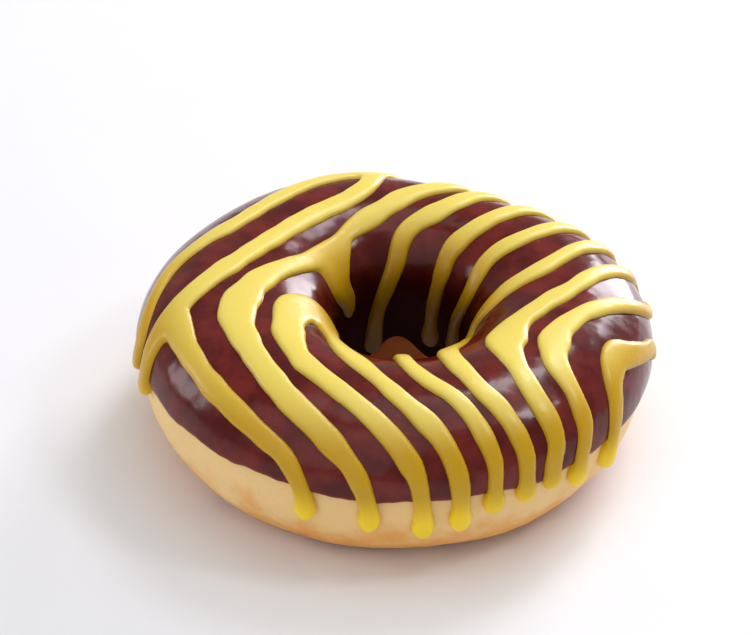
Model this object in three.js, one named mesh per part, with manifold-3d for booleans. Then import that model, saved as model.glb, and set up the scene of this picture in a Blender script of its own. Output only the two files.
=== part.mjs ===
// A ring doughnut: a risen ring of dough, coated from the top down to its waist and striped
// with poured icing, which bends in chevrons and hangs down the side in round-ended drips.
// Units are millimetres, +Z is up, and the ring rests on z = 0.
import * as THREE from "three";
import { SimplifyModifier } from "three/addons/modifiers/SimplifyModifier.js";
import { mergeVertices } from "three/addons/utils/BufferGeometryUtils.js";
import Module from "manifold-3d";

// Driving dimensions of the dough
const OUTER_RADIUS = 44; // where the ring is widest
const HOLE_RADIUS = 14.2; // where the hole is narrowest
const WAIST_HEIGHT = 15.5; // level of both of those
const CROWN = 13.4; // from the waist up to the crest
const BELLY = 16.5; // from the waist down, before the base flattens it
const ROUNDNESS = 2.2; // power of the section's superellipse, 2 for a true ellipse
const FOOT_SQUARENESS = 6; // the same power below the waist in the hole, where the wall is steep
const OUTER_LOBES = [
  { waves: 2, cosine: 0.8, sine: -0.2 },
  { waves: 3, cosine: 0.8, sine: 0.45 },
  { waves: 4, cosine: 0, sine: 0.6 },
  { waves: 5, cosine: -0.3, sine: 0.3 },
];
const HOLE_LOBES = [
  { waves: 1, cosine: 2, sine: 2.2 },
  { waves: 2, cosine: -1.6, sine: 0.4 },
];

// Driving dimensions of the coating, whose edges are given as turns round the ring's section:
// 0 degrees is the outer waist, 90 the crest and 180 the inner waist
const COATING_THICKNESS = 1.1;
const LIP_SHARE = 0.6; // of that thickness at the coating's edges
const LIP_POWER = 8; // keeps the coating at its full thickness until near its edges
const CLEARANCE = 0.3; // left between the dough and what lies on it
const OUTER_EDGE_TURN = 6;
const OUTER_EDGE_WAVES = [
  { waves: 1, cosine: -4, sine: 0.5 },
  { waves: 5, cosine: 0, sine: 1.2 },
  { waves: 9, cosine: 1, sine: 0.8 },
];
const HOLE_EDGE_TURN = 217;
const HOLE_EDGE_WAVES = [
  { waves: 3, cosine: 0.3, sine: 2 },
  { waves: 7, cosine: 2, sine: 5.6 },
];

// Driving dimensions of the icing
const ICING_WIDTH = 4.5; // of a line that has no width of its own
const WALL_WIDTH_SHARE = 0.75; // of a line's width where it hangs down a wall
const WALL_ONSET = 6; // power of the turn's cosine, which narrows a line only on a steep wall
const ICING_HEIGHT = 1.2; // of a line's top above the coating
const ICING_SUNK = 0.3; // how far below the coating's face a line is widest
const DRIP_LENGTH = 5.6; // of a drip's round end
const DRIP_WIDTH = 4.2;
const STEP = 3.2; // between the sections of a line
const SHOULDER_SHARE = 0.97; // how far over the section a place on the top may lie
const SHOULDER_HEIGHT = 21.5; // where a line comes over the shoulder to a wall
const HANG_SHARE = 0.4; // of the way up from its end, a line runs almost straight down,
const LEFT_TO_TURN = 0.12; // with this share of its way round the ring still to go

// An end that hangs down a wall: at which plan angle and to which height, and at which plan
// angle the line comes over the shoulder
const outside = (angle, height, shoulderAngle = angle) => ({
  inHole: false,
  angle,
  height,
  shoulderAngle,
});
const inHole = (angle, height, shoulderAngle = angle) => ({
  ...outside(angle, height, shoulderAngle),
  inHole: true,
});

// The poured lines, each from one end, over the places it passes seen from above, to its other
// end; an end that joins another line has no wall to hang on, a width stands in for ICING_WIDTH,
// and a taper is the share of its width that a line keeps to its end
const POURED_LINES = [
  {
    from: outside(88, 18),
    to: outside(-168, 18.5, -171.7),
    width: 4,
    places: [[-1.5, 40.5], [-8, 37.4], [-14.7, 34], [-21.7, 27.2], [-28.5, 18.6], [-35, 11.8],
      [-39.6, 6.1], [-42, -1]],
  },
  {
    from: outside(94, 16),
    to: outside(-160.2, 17.4, -162),
    places: [[-4.6, 38.5], [-6, 32], [-9.4, 27], [-15.9, 20.6], [-22.5, 12.2], [-29, 3.6],
      [-35.3, -4.4], [-39.2, -10.4]],
  },
  {
    to: outside(-106.8, 13.7, -112.3),
    places: [[-38, -7.4], [-36.9, -12.2], [-34.3, -19.2], [-29.3, -27.7], [-24.8, -33.1],
      [-20, -37.6]],
  },
  {
    from: outside(67, 18),
    to: outside(-93, 12.9, -96.9),
    width: 4.7,
    places: [[16, 39], [8.5, 33.7], [2.1, 29.6], [-4.6, 23.8], [-8.8, 19.6], [-12.6, 13.4],
      [-15.6, 9], [-18.1, 6.4], [-22.4, 1.1], [-25.5, -4.7], [-26.8, -12], [-23.3, -22],
      [-17.8, -31.3], [-9.8, -39.4]],
  },
  {
    to: inHole(126.5, 15.4, 136),
    width: 13.5,
    taper: 0.25,
    places: [[-13.1, 13], [-11.9, 11.6]],
  },
  {
    from: outside(58, 13),
    to: inHole(102.5, 6, 90.5),
    width: 4.3,
    places: [[22.5, 36], [14.8, 31], [7.5, 25.4], [1.6, 21.8]],
  },
  {
    from: outside(-81.2, 11.4, -83.5),
    to: outside(-73, 12.5, -74.1),
    width: 4.4,
    places: [[1, -39.6], [-3.9, -35.5], [-9.6, -30.2], [-14.2, -24.8], [-16.8, -18.6], [-17.6, -12],
      [-16.6, -6.5], [-14.2, -3.7], [-12, -5.4], [-11, -10.4], [-9.2, -16.4], [-7.4, -20.2],
      [-3.2, -26.4], [1.6, -32.5], [8.9, -38.7]],
  },
  {
    from: outside(48, 17),
    to: inHole(66, 8, 62.5),
    width: 4,
    places: [[30, 32.2], [23, 27.5], [15.2, 21.6], [9.9, 18.2]],
  },
  {
    from: outside(39, 14),
    to: inHole(47, 9, 38),
    width: 3.8,
    places: [[35, 27.7], [29, 22], [22.3, 17], [16.4, 13.6]],
  },
  {
    from: inHole(-84, 13),
    to: outside(-65.6, 15.3, -65.2),
    width: 3.7,
    places: [[3, -23], [6.2, -27.9], [11.7, -32.3], [16.2, -37.1]],
  },
  {
    from: outside(30.5, 17),
    to: outside(-58, 16, -57.5),
    width: 4,
    places: [[38, 21.2], [32.7, 15.2], [25.5, 7.7], [17.9, 3], [14.2, 0.2], [12.3, -7.5],
      [9.7, -15], [10.6, -21], [14.8, -28.5], [19.1, -32.6], [22.1, -35.4]],
  },
  {
    from: outside(22, 15),
    to: outside(-51.2, 16.7, -49.2),
    places: [[41.5, 14.3], [36.1, 8.2], [30.6, 1.2], [25.3, -4.1], [20.8, -9.8], [19.3, -16],
      [21.3, -22.5], [25, -29.1], [27.2, -31.3]],
  },
  {
    from: outside(18, 16, 9),
    to: outside(-43.2, 14.4, -40.2),
    width: 4.2,
    places: [[43, 3.8], [37.6, -1.2], [32.2, -6.3], [28.2, -12.6], [27.9, -19.8], [31.5, -25.6]],
  },
  {
    from: outside(-2, 20, -6),
    to: outside(-31.6, 13, -27.6),
    width: 4.8,
    places: [[41.4, -9.2], [38.4, -12.8], [37.9, -17.6]],
  },
];

// Where a line spread into a pool: its centre seen from above and its two half widths
const POOLS = [
  { at: [-26.6, -9.6], halfWidths: [3.6, 5.2] },
  { at: [-14.8, -4.6], halfWidths: [3.9, 3.9] },
  { at: [-17.2, -14.2], halfWidths: [2.9, 4.5] },
  { at: [-38, -10.4], halfWidths: [3.1, 4] },
  { at: [19.9, -14], halfWidths: [3.9, 4.2] },
  { at: [27.9, -14.6], halfWidths: [3.1, 4] },
  { at: [38.4, -13.2], halfWidths: [2.9, 3.4] },
];

// How finely the solids are divided
const PLAN_SEGMENTS = 64;
const DOUGH_SECTION_SEGMENTS = 24;
const COATING_OUTSIDE_SEGMENTS = 13;
const COATING_INSIDE_SEGMENTS = 6;
const ICING_SIDES = 8;
const BLOB_SIDES = 10;
const BLOB_RINGS = 6;
const TOPPING_TRIANGLES = 10700;
const WELD_TOLERANCE = 1e-4;

// The finished ring's bounding box is centred over the origin
const RING_CENTRE = [-0.9, 0];

const wasm = await Module();
wasm.setup();

const radians = THREE.MathUtils.degToRad;

// The sum of a list of waves at a plan angle
function wavesAt(table, angle) {
  let sum = 0;
  for (const { waves, cosine, sine } of table)
    sum += cosine * Math.cos(waves * angle) + sine * Math.sin(waves * angle);
  return sum;
}

// The middle radius and the half width of the dough's section at a plan angle
function sectionAt(angle) {
  const outer = OUTER_RADIUS + wavesAt(OUTER_LOBES, angle);
  const inner = HOLE_RADIUS + wavesAt(HOLE_LOBES, angle);
  return { middle: (outer + inner) / 2, halfWidth: (outer - inner) / 2 };
}

// A point at a plan angle and a turn round the section, lifted off the dough's skin, and the
// direction that points straight out of the skin there
function skinAt(angle, turn, lift) {
  const { middle, halfWidth } = sectionAt(angle);
  const c = Math.cos(turn);
  const s = Math.sin(turn);
  const power = c < 0 && s < 0 ? FOOT_SQUARENESS : ROUNDNESS;
  const stretch = (Math.abs(c) ** power + Math.abs(s) ** power) ** (-1 / power);
  const height = s > 0 ? CROWN : BELLY;
  const across = (Math.sign(c) * Math.abs(c * stretch) ** (power - 1)) / halfWidth;
  const upward = (Math.sign(s) * Math.abs(s * stretch) ** (power - 1)) / height;
  const size = Math.hypot(across, upward);
  const radius = middle + halfWidth * c * stretch + (lift * across) / size;
  const z = WAIST_HEIGHT + height * s * stretch + (lift * upward) / size;
  return {
    point: new THREE.Vector3(radius * Math.cos(angle), radius * Math.sin(angle), z),
    normal: new THREE.Vector3(
      (across / size) * Math.cos(angle),
      (across / size) * Math.sin(angle),
      upward / size,
    ),
  };
}

// The plan angle and the turn round the section of a point near the skin
function turnTo(point) {
  const angle = Math.atan2(point.y, point.x);
  const { middle, halfWidth } = sectionAt(angle);
  const offset = point.z - WAIST_HEIGHT;
  const rise = offset / (offset > 0 ? CROWN : BELLY);
  const turn = Math.atan2(rise, (Math.hypot(point.x, point.y) - middle) / halfWidth);
  return { angle, turn: turn < -Math.PI / 2 ? turn + 2 * Math.PI : turn };
}

// The point of the upper skin that lies over a place seen from above, no nearer to a waist than
// SHOULDER_SHARE of the section's half width
function skinOver([x, y], lift) {
  const angle = Math.atan2(y, x);
  const { middle, halfWidth } = sectionAt(angle);
  const share = (Math.hypot(x, y) - middle) / (halfWidth + lift);
  const held = THREE.MathUtils.clamp(share, -SHOULDER_SHARE, SHOULDER_SHARE);
  const rise = (1 - Math.abs(held) ** ROUNDNESS) ** (1 / ROUNDNESS);
  return skinAt(angle, Math.atan2(rise, held), lift);
}

// The point of a wall at a plan angle in degrees and a height
function wallPoint({ inHole: isInHole, angle, height }, lift) {
  const offset = height - WAIST_HEIGHT;
  const rise = offset / (offset > 0 ? CROWN : BELLY);
  const power = isInHole && offset < 0 ? FOOT_SQUARENESS : ROUNDNESS;
  const turn = Math.atan2(rise, (1 - Math.abs(rise) ** power) ** (1 / power));
  return skinAt(radians(angle), isInHole ? Math.PI - turn : turn, lift).point;
}

// A geometry's own shape alone, with shared corners merged
function weld(geometry) {
  geometry.deleteAttribute("normal");
  geometry.deleteAttribute("uv");
  return mergeVertices(geometry, WELD_TOLERANCE);
}

// Moves each corner of a geometry to where place(corner) puts it
function reshape(geometry, place) {
  const position = geometry.getAttribute("position");
  const corner = new THREE.Vector3();
  for (let i = 0; i < position.count; i++) {
    const moved = place(corner.fromBufferAttribute(position, i), i);
    position.setXYZ(i, moved.x, moved.y, moved.z);
  }
  return geometry;
}

function toSolid(geometry) {
  return new wasm.Manifold(
    new wasm.Mesh({
      numProp: 3,
      vertProperties: new Float32Array(geometry.getAttribute("position").array),
      triVerts: new Uint32Array(geometry.index.array),
    }),
  );
}

function barePositions(solid) {
  const mesh = solid.getMesh();
  const geometry = new THREE.BufferGeometry();
  geometry.setAttribute("position", new THREE.BufferAttribute(mesh.vertProperties, 3));
  geometry.setIndex(new THREE.BufferAttribute(mesh.triVerts, 1));
  return geometry;
}

// A closed profile turned round the vertical axis into a ring about PROFILE_CENTRE, for a
// reshape that reads each corner's plan angle, turn and distance from the profile's centre
const PROFILE_CENTRE = 3;

function profilePoint(turn, distance) {
  return new THREE.Vector2(PROFILE_CENTRE + distance * Math.cos(turn), distance * Math.sin(turn));
}

function plainRing(profile) {
  const ring = weld(new THREE.LatheGeometry(profile, PLAN_SEGMENTS));
  return ring.rotateX(Math.PI / 2);
}

function readRing(corner) {
  const reach = Math.hypot(corner.x, corner.y) - PROFILE_CENTRE;
  const turn = Math.atan2(corner.z, reach);
  return {
    angle: Math.atan2(corner.y, corner.x),
    turn: turn < -Math.PI / 2 ? turn + 2 * Math.PI : turn,
    distance: Math.hypot(reach, corner.z),
  };
}

// The ring of dough, or a larger ring that keeps a clearance from it, flattened at the base
function doughSolid(lift) {
  const profile = [];
  for (let i = 0; i <= DOUGH_SECTION_SEGMENTS; i++)
    profile.push(profilePoint((i * 2 * Math.PI) / DOUGH_SECTION_SEGMENTS, 1));
  const ring = reshape(plainRing(profile), (corner) => {
    const { angle, turn } = readRing(corner);
    const { point } = skinAt(angle, turn, lift);
    point.z = Math.max(point.z, -lift);
    return point;
  });
  return toSolid(ring);
}

// The coating's outside, as a thick half ring that reaches into the dough and is cut by it
function coatingSolid() {
  const insideDistance = 0.5;
  const insideLift = -2;
  const profile = [];
  for (let i = 0; i <= COATING_OUTSIDE_SEGMENTS; i++)
    profile.push(profilePoint((i * Math.PI) / COATING_OUTSIDE_SEGMENTS, 1));
  for (let i = COATING_INSIDE_SEGMENTS; i >= 0; i--)
    profile.push(profilePoint((i * Math.PI) / COATING_INSIDE_SEGMENTS, insideDistance));
  profile.push(profile[0].clone());
  const ring = reshape(plainRing(profile), (corner) => {
    const { angle, turn, distance } = readRing(corner);
    const outerEdge = radians(OUTER_EDGE_TURN + wavesAt(OUTER_EDGE_WAVES, angle));
    const holeEdge = radians(HOLE_EDGE_TURN + wavesAt(HOLE_EDGE_WAVES, angle));
    const share = THREE.MathUtils.clamp(turn / Math.PI, 0, 1);
    const fromCrest = Math.abs(2 * share - 1);
    const thickness = COATING_THICKNESS * (1 - (1 - LIP_SHARE) * fromCrest ** LIP_POWER);
    const lift = distance > (1 + insideDistance) / 2 ? thickness : insideLift;
    return skinAt(angle, outerEdge + share * (holeEdge - outerEdge), lift).point;
  });
  return toSolid(ring);
}

// The points where a hanging end comes over the shoulder, has turned down, and stops
function hangingMarks(end, lift) {
  if (!end) return [];
  const turnedDown = {
    ...end,
    angle: THREE.MathUtils.lerp(end.angle, end.shoulderAngle, LEFT_TO_TURN),
    height: THREE.MathUtils.lerp(end.height, SHOULDER_HEIGHT, HANG_SHARE),
  };
  const shoulder = { ...end, angle: end.shoulderAngle, height: SHOULDER_HEIGHT };
  return [shoulder, turnedDown, end].map((mark) => wallPoint(mark, lift));
}

// The stops of a line on the coating's skin: up the wall from an end that hangs, over the
// places it passes, and down the wall again
function lineStops({ from, to, places, width = ICING_WIDTH, taper = 1 }) {
  const lift = COATING_THICKNESS - ICING_SUNK;
  const marks = [
    ...hangingMarks(from, lift).reverse(),
    ...places.map((place) => skinOver(place, lift).point),
    ...hangingMarks(to, lift),
  ];
  const curve = new THREE.CatmullRomCurve3(marks, false, "centripetal");
  const count = Math.round(curve.getLength() / STEP);
  return curve.getSpacedPoints(count).map((near, index) => {
    const { angle, turn } = turnTo(near);
    const wallShare = Math.abs(Math.cos(turn)) ** WALL_ONSET;
    const narrowing = THREE.MathUtils.lerp(1, taper, index / count);
    const widthThere = width * narrowing * THREE.MathUtils.lerp(1, WALL_WIDTH_SHARE, wallShare);
    return { ...skinAt(angle, turn, lift), width: widthThere, narrowing };
  });
}

// The frame at one stop of a line: forward along it, outward from the skin, and sideways
function frameAt(stops, index) {
  const before = stops[Math.max(index - 1, 0)].point;
  const after = stops[Math.min(index + 1, stops.length - 1)].point;
  const forward = after.clone().sub(before).normalize();
  const side = forward.clone().cross(stops[index].normal).normalize();
  const outward = side.clone().cross(forward).normalize();
  return { ...stops[index], forward, side, outward };
}

// A bead with an elliptical section that follows the stops
function beadSolid(stops) {
  const last = stops.length - 1;
  const frames = stops.map((_, index) => frameAt(stops, index));
  const bead = weld(new THREE.CylinderGeometry(1, 1, 1, ICING_SIDES, last));
  return toSolid(
    reshape(bead, (corner) => {
      const { point, side, outward, width } = frames[Math.round((0.5 - corner.y) * last)];
      return point
        .clone()
        .addScaledVector(side, (corner.z * width) / 2)
        .addScaledVector(outward, corner.x * (ICING_HEIGHT + ICING_SUNK));
    }),
  );
}

// A rounded blob of icing with its own half sizes along three directions
function blobSolid({ point, forward, side, outward }, alongHalf, sideHalf, outHalf) {
  const blob = weld(new THREE.SphereGeometry(1, BLOB_SIDES, BLOB_RINGS));
  return toSolid(
    reshape(blob, (corner) =>
      point
        .clone()
        .addScaledVector(forward, -corner.y * alongHalf)
        .addScaledVector(side, corner.z * sideHalf)
        .addScaledVector(outward, corner.x * outHalf),
    ),
  );
}

// One poured line with a round end at each stop where it leaves off
function lineSolids(line) {
  const stops = lineStops(line);
  const thickness = ICING_HEIGHT + ICING_SUNK;
  const roundEnd = (index) => {
    const frame = frameAt(stops, index);
    const size = frame.narrowing / 2;
    return blobSolid(frame, DRIP_LENGTH * size, DRIP_WIDTH * size, thickness);
  };
  const pieces = [beadSolid(stops)];
  if (line.from) pieces.push(roundEnd(0));
  if (line.to) pieces.push(roundEnd(stops.length - 1));
  return pieces;
}

// A pool lies on the coating like a flat drop
function poolSolid({ at, halfWidths }) {
  const { point, normal } = skinOver(at, COATING_THICKNESS - ICING_SUNK);
  const side = new THREE.Vector3(1, 0, 0).addScaledVector(normal, -normal.x).normalize();
  const frame = { point, forward: normal.clone().cross(side), side, outward: normal };
  return blobSolid(frame, halfWidths[1], halfWidths[0], ICING_HEIGHT + ICING_SUNK);
}

function icingSolids() {
  return [...POURED_LINES.flatMap(lineSolids), ...POOLS.map(poolSolid)];
}

// The largest piece of a solid, without the crumbs that cutting leaves
function largestPiece(solid) {
  return solid.decompose().sort((a, b) => b.volume() - a.volume())[0];
}

// A solid's shape with its smallest facets merged until a count of triangles is left
async function thinned(solid, triangles) {
  const fine = mergeVertices(barePositions(solid), WELD_TOLERANCE);
  const corners = fine.getAttribute("position").count;
  const spare = Math.max(0, 1 - triangles / (fine.index.count / 3)) * corners;
  return toSolid(await new SimplifyModifier().modify(fine, Math.round(spare)));
}

// The coating and the icing fused into one skin, kept clear of the dough it lies on
async function toppingSolid() {
  const fused = icingSolids().reduce((whole, piece) => whole.add(piece), coatingSolid());
  const clear = largestPiece(fused.subtract(doughSolid(CLEARANCE)));
  return largestPiece(await thinned(clear, TOPPING_TRIANGLES));
}

const finishes = {
  dough: new THREE.MeshStandardMaterial({ color: 0xe6c08a, roughness: 0.75, metalness: 0 }),
  coating: new THREE.MeshStandardMaterial({ color: 0x4a1f22, roughness: 0.3, metalness: 0 }),
};

function namedMesh(name, solid) {
  const geometry = barePositions(solid);
  geometry.computeVertexNormals();
  const mesh = new THREE.Mesh(geometry, finishes[name]);
  mesh.name = name;
  return mesh;
}

const doughnut = new THREE.Group();
doughnut.add(namedMesh("dough", doughSolid(0)), namedMesh("coating", await toppingSolid()));
doughnut.position.set(RING_CENTRE[0], RING_CENTRE[1], 0);

export default doughnut;
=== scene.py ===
"""A ring doughnut: risen dough, a chocolate coating down to its waist, and yellow icing poured
over it in chevron lines that end in drips. Shapes are worked out in millimetres, with the ring's
middle over the origin, and each finished mesh is set in its place in metres."""

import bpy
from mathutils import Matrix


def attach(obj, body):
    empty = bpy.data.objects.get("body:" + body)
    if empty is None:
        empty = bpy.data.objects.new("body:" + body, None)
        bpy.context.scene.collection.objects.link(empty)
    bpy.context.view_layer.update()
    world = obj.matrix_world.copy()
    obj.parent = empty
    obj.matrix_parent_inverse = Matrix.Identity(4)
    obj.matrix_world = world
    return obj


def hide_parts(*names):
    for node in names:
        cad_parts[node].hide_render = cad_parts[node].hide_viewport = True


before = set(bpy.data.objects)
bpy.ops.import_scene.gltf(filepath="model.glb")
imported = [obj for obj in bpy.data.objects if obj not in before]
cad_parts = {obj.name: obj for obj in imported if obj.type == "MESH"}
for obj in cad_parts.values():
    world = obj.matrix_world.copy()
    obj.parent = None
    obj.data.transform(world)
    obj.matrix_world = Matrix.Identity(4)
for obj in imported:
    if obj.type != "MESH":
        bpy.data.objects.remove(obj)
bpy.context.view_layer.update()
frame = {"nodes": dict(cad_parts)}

import logging
import math
from dataclasses import dataclass, field
from enum import Enum
from typing import Any, Callable

import bmesh
import bpy
from mathutils import Matrix, Vector, noise

LOG = logging.getLogger("doughnut")
MM = 0.001
FULL_TURN = 2 * math.pi
SECTION_CENTRE = 3.0  # of a plain ring's section of radius 1, before it is reshaped
MEAN_MOTTLE = 0.5  # taken off a mottle, so that it moves a value both ways
WINDOW_LIGHT = (0.96, 0.94, 1.0)

Colour = tuple[int, int, int]  # as it looks on a screen, each part from 0 to 255


def clamp(value: float, low: float = 0.0, high: float = 1.0) -> float:
    """A value held between two limits."""
    return max(low, min(high, value))


def smooth_step(value: float, start: float, end: float) -> float:
    """How far a value has come from start to end, from 0 to 1 with soft ends."""
    share = clamp((value - start) / (end - start))
    return share * share * (3 - 2 * share)


def pattern_shift(shift: float) -> tuple[float, float, float]:
    """How far one number moves a pattern along each axis."""
    return (shift, -shift, 2 * shift)


def relief(point: Vector, size: float, shift: float = 0.0) -> float:
    """A smooth unevenness between about -1 and 1.

    Args:
        point: Where it is read, in millimetres.
        size: The width of one swell, in millimetres.
        shift: Moves the pattern, so that two of one size differ.

    Returns:
        The height of the unevenness there.
    """
    return noise.noise(point / size + Vector(pattern_shift(shift)))


def painted(colour: Colour) -> tuple[float, float, float, float]:
    """Turns a colour as it looks on a screen into a shader's, by the screen's standard curve.

    Args:
        colour: The colour as it looks.

    Returns:
        Its linear parts from 0 to 1, and 1 for opaque.
    """
    linear = [
        level / 12.92 if level <= 0.04045 else ((level + 0.055) / 1.055) ** 2.4
        for level in (part / 255 for part in colour)
    ]
    return (linear[0], linear[1], linear[2], 1.0)


@dataclass(frozen=True)
class Wave:
    """One wave round the ring, with so many crests in a full turn."""

    crests: int
    cosine: float
    sine: float

    def at(self, angle: float) -> float:
        """The wave's height at a plan angle."""
        return self.cosine * math.cos(self.crests * angle) + self.sine * math.sin(self.crests * angle)


class Wall(Enum):
    """Which side of the ring a line of icing hangs down."""

    OUTSIDE = "outside"
    HOLE = "hole"


@dataclass(frozen=True)
class HangingEnd:
    """Where a line of icing stops on a wall: at a plan angle in degrees and at a height.

    The shoulder angle is where the line comes over the shoulder to the wall.
    """

    wall: Wall
    angle: float
    height: float
    shoulder_angle: float


@dataclass(frozen=True)
class PouredLine:
    """A line of icing over the places it passes seen from above, with the ends it hangs down to.

    A start that is None joins another line. The taper is the share of its width that a line
    keeps to its end.
    """

    start: HangingEnd | None
    places: tuple[tuple[float, float], ...]
    stop: HangingEnd
    width: float = 4.5
    taper: float = 1.0


@dataclass(frozen=True)
class Swell:
    """Where the lines that pass are wider, or below 0 narrower, on each side, and how far round."""

    place: tuple[float, float]
    extra: float
    reach: float

    def at(self, point: Vector) -> float:
        """The extra half width at a point."""
        away = math.hypot(point.x - self.place[0], point.y - self.place[1])
        return self.extra * math.exp(-((away / self.reach) ** 2))


@dataclass(frozen=True)
class RingForm:
    """The skin of the dough, which everything lies on.

    A turn goes round the ring's section: 0 is the outer waist, a quarter turn the crest and a
    half turn the inner waist. The section is a superellipse, squarer at the foot of the hole. Its
    crown and belly are its half heights over and under the waist, and the belly reaches a little
    below the floor, where the dough flattens. The hole gets painted shade between two turns in degrees.
    """

    centre: tuple[float, float] = (-0.9, 0.0)
    outer_radius: float = 44.0
    hole_radius: float = 14.2
    waist_height: float = 15.5
    crown: float = 13.4
    belly: float = 16.5
    roundness: float = 2.2
    foot_squareness: float = 6.0
    shaded_turns: tuple[float, float] = (130.0, 185.0)
    outer_lobes: tuple[Wave, ...] = (
        Wave(2, 0.8, -0.2),
        Wave(3, 0.8, 0.45),
        Wave(4, 0.0, 0.6),
        Wave(5, -0.3, 0.3),
    )
    hole_lobes: tuple[Wave, ...] = (Wave(1, 2.0, 2.2), Wave(2, -1.6, 0.4))

    def section_at(self, angle: float) -> tuple[float, float]:
        """The size of the section at one place round the ring.

        Args:
            angle: The plan angle.

        Returns:
            The section's middle radius and its half width.
        """
        outer = self.outer_radius + sum(wave.at(angle) for wave in self.outer_lobes)
        inner = self.hole_radius + sum(wave.at(angle) for wave in self.hole_lobes)
        return (outer + inner) / 2, (outer - inner) / 2

    def skin_at(self, angle: float, turn: float, lift: float) -> tuple[Vector, Vector]:
        """A point near the skin.

        Args:
            angle: The plan angle.
            turn: The turn round the section.
            lift: The distance out of the skin.

        Returns:
            The point, and the direction that leads straight out of the skin there.
        """
        middle, half_width = self.section_at(angle)
        cosine, sine = math.cos(turn), math.sin(turn)
        power = self.foot_squareness if cosine < 0 and sine < 0 else self.roundness
        stretch = (abs(cosine) ** power + abs(sine) ** power) ** (-1 / power)
        half_height = self.crown if sine > 0 else self.belly
        across = math.copysign(abs(cosine * stretch) ** (power - 1), cosine) / half_width
        upward = math.copysign(abs(sine * stretch) ** (power - 1), sine) / half_height
        size = math.hypot(across, upward)
        radius = middle + half_width * cosine * stretch + lift * across / size
        height = self.waist_height + half_height * sine * stretch + lift * upward / size
        plan = Vector((math.cos(angle), math.sin(angle), 0))
        rise = Vector((0, 0, 1))
        return radius * plan + height * rise, across / size * plan + upward / size * rise

    def rise_of(self, height: float) -> float:
        """A height as a share of the way up from the waist, or below 0 of the way down."""
        offset = height - self.waist_height
        return offset / (self.crown if offset > 0 else self.belly)

    def turn_to(self, point: Vector) -> tuple[float, float]:
        """Where round the ring and its section a point lies.

        Args:
            point: The point.

        Returns:
            Its plan angle and its turn, which runs from minus a quarter turn up.
        """
        angle = math.atan2(point.y, point.x)
        middle, half_width = self.section_at(angle)
        across = (math.hypot(point.x, point.y) - middle) / half_width
        turn = math.atan2(self.rise_of(point.z), across)
        return angle, turn + FULL_TURN if turn < -math.pi / 2 else turn

    def hole_shade_share(self, point: Vector) -> float:
        """How much painted shade a point gets in the hole, from 0 at the shoulder to 1 below the waist."""
        _, turn = self.turn_to(point)
        return smooth_step(math.degrees(turn), *self.shaded_turns)

    def lift_of(self, point: Vector) -> float:
        """How far out of the skin a point lies."""
        skin, outward = self.skin_at(*self.turn_to(point), 0.0)
        return (point - skin).dot(outward)

    def skin_over(self, place: tuple[float, float], shoulder: float, lift: float) -> Vector:
        """The point of the upper skin that lies over a place seen from above.

        Args:
            place: The place on the plan.
            shoulder: The largest share of the half width that the point may be from the middle.
            lift: The distance out of the skin.

        Returns:
            The point.
        """
        angle = math.atan2(place[1], place[0])
        middle, half_width = self.section_at(angle)
        share = clamp((math.hypot(*place) - middle) / (half_width + lift), -shoulder, shoulder)
        rise = (1 - abs(share) ** self.roundness) ** (1 / self.roundness)
        return self.skin_at(angle, math.atan2(rise, share), lift)[0]

    def wall_point(self, end: HangingEnd, lift: float) -> Vector:
        """The point of a wall that a line hangs down to.

        Args:
            end: The line's end.
            lift: The distance out of the skin.

        Returns:
            The point.
        """
        rise = self.rise_of(end.height)
        in_hole_foot = end.wall is Wall.HOLE and rise < 0
        power = self.foot_squareness if in_hole_foot else self.roundness
        turn = math.atan2(rise, (1 - abs(rise) ** power) ** (1 / power))
        if end.wall is Wall.HOLE:
            turn = math.pi - turn
        return self.skin_at(math.radians(end.angle), turn, lift)[0]


FORM = RingForm()


class Sock:
    """A shader socket that Python's arithmetic works on by adding Math nodes."""

    def __init__(self, recipe: "Recipe", socket: bpy.types.NodeSocket) -> None:
        """Holds a socket of a recipe's node tree."""
        self.recipe = recipe
        self.socket = socket

    def _maths(self, operation: str, first: Any, second: Any) -> "Sock":
        """One Math node on two numbers or sockets."""
        return self.recipe.node("ShaderNodeMath", {"operation": operation}, {0: first, 1: second})

    def __add__(self, other: Any) -> "Sock":
        """self + other."""
        return self._maths("ADD", self, other)

    __radd__ = __add__

    def __sub__(self, other: Any) -> "Sock":
        """self - other."""
        return self._maths("SUBTRACT", self, other)

    def __rsub__(self, other: Any) -> "Sock":
        """other - self."""
        return self._maths("SUBTRACT", other, self)

    def __mul__(self, other: Any) -> "Sock":
        """self * other."""
        return self._maths("MULTIPLY", self, other)

    __rmul__ = __mul__

    def soft(self, start: float, end: float) -> "Sock":
        """How far the value has come between two others.

        Args:
            start: The value that gives 0.
            end: The value that gives 1.

        Returns:
            The share, from 0 to 1 with soft ends.
        """
        settings = {"interpolation_type": "SMOOTHSTEP"}
        inputs = {"Value": self, "From Min": start, "From Max": end}
        return self.recipe.node("ShaderNodeMapRange", settings, inputs)


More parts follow.
